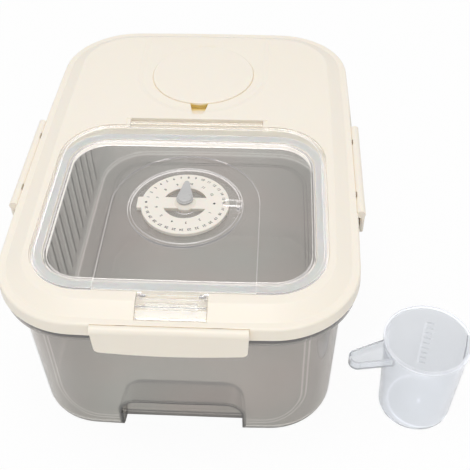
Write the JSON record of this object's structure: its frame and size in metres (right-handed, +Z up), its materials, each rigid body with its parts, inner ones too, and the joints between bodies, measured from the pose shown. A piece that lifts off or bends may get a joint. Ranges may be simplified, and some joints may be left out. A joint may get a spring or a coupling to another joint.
{
  "type": "rice storage box",
  "caption": "Countertop rice box: smoke-tinted container, cream lid on side latches, clear flip lid with a date dial and snap tab, round cap, and a separate measuring cup.",
  "frame": {"origin": "centre of the container's flat underside, on the surface it stands on", "axes": "+Z up; -Y is the front with the hand grip and the clear tab; +Y towards the round cap; +X to the right, where the measuring cup stands"},
  "size_m": [0.3495, 0.3686, 0.1512],
  "materials": {
    "smoke_clear": "clear gloss, smoke tint",
    "cream_plastic": "satin gloss",
    "dial_cream": "satin",
    "pointer_grey": "satin gloss",
    "clear_plastic": "clear gloss",
    "pale_seal": "matte, translucent",
    "steel_pin": "smooth",
    "cup_clear": "translucent, soft gloss"
  },
  "bodies": {
    "container": {"container": "smoke_clear"},
    "lid": {"main_lid": "cream_plastic", "lid_seal": "pale_seal", "latch_pin_front": "steel_pin", "latch_pin_left": "steel_pin", "latch_pin_right": "steel_pin", "flip_hinge_pin": "cream_plastic"},
    "latch_front": {"latch_front": "cream_plastic"},
    "latch_left": {"latch_left": "cream_plastic"},
    "latch_right": {"latch_right": "cream_plastic"},
    "flip": {"flip_lid": "clear_plastic", "flip_lid_seal": "pale_seal", "tab_pin_left": "steel_pin", "tab_pin_right": "steel_pin"},
    "tab": {"tab_latch": "clear_plastic"},
    "dial": {"dial_ring": "dial_cream"},
    "pointer": {"dial_pointer": "pointer_grey"},
    "cap": {"round_cap": "cream_plastic", "cap_seal": "pale_seal"},
    "cup": {"measuring_cup": "cup_clear"}
  },
  "joints": [
    {"name": "lid_lift", "type": "slide", "parent": "container", "child": "lid", "axis": [0, 0, 1], "range_m": [0, 0.04]},
    {"name": "latch_front_hinge", "type": "hinge", "parent": "lid", "child": "latch_front", "pos_m": [0, -0.1832, 0.1368], "axis": [-1, 0, 0], "range_deg": [0, 120]},
    {"name": "latch_left_hinge", "type": "hinge", "parent": "lid", "child": "latch_left", "pos_m": [-0.1302, -0.0145, 0.1368], "axis": [0, 1, 0], "range_deg": [0, 120]},
    {"name": "latch_right_hinge", "type": "hinge", "parent": "lid", "child": "latch_right", "pos_m": [0.1302, -0.0145, 0.1368], "axis": [0, -1, 0], "range_deg": [0, 120]},
    {"name": "flip_lid_hinge", "type": "hinge", "parent": "lid", "child": "flip", "pos_m": [0, 0.0313, 0.1413], "axis": [-1, 0, 0], "range_deg": [0, 105]},
    {"name": "tab_hinge", "type": "hinge", "parent": "flip", "child": "tab", "pos_m": [0, -0.1572, 0.1424], "axis": [-1, 0, 0], "range_deg": [0, 80]},
    {"name": "dial_spin", "type": "hinge", "parent": "flip", "child": "dial", "pos_m": [0, -0.067, 0.1419], "axis": [0, 0, 1], "continuous": true},
    {"name": "pointer_spin", "type": "hinge", "parent": "flip", "child": "pointer", "pos_m": [0, -0.067, 0.1451], "axis": [0, 0, 1], "continuous": true},
    {"name": "cap_lift", "type": "slide", "parent": "lid", "child": "cap", "axis": [0, 0, 1], "range_m": [0, 0.04]},
    {"name": "cup_lift", "type": "slide", "parent": "container", "child": "cup", "axis": [0, 0, 1], "range_m": [0, 0.1]}
  ],
  "couplings": [
    {"joint": "latch_front_hinge", "follows": "lid_lift", "rad_per_m": 52.3},
    {"joint": "latch_left_hinge", "follows": "lid_lift", "rad_per_m": 52.3},
    {"joint": "latch_right_hinge", "follows": "lid_lift", "rad_per_m": 52.3}
  ]
}
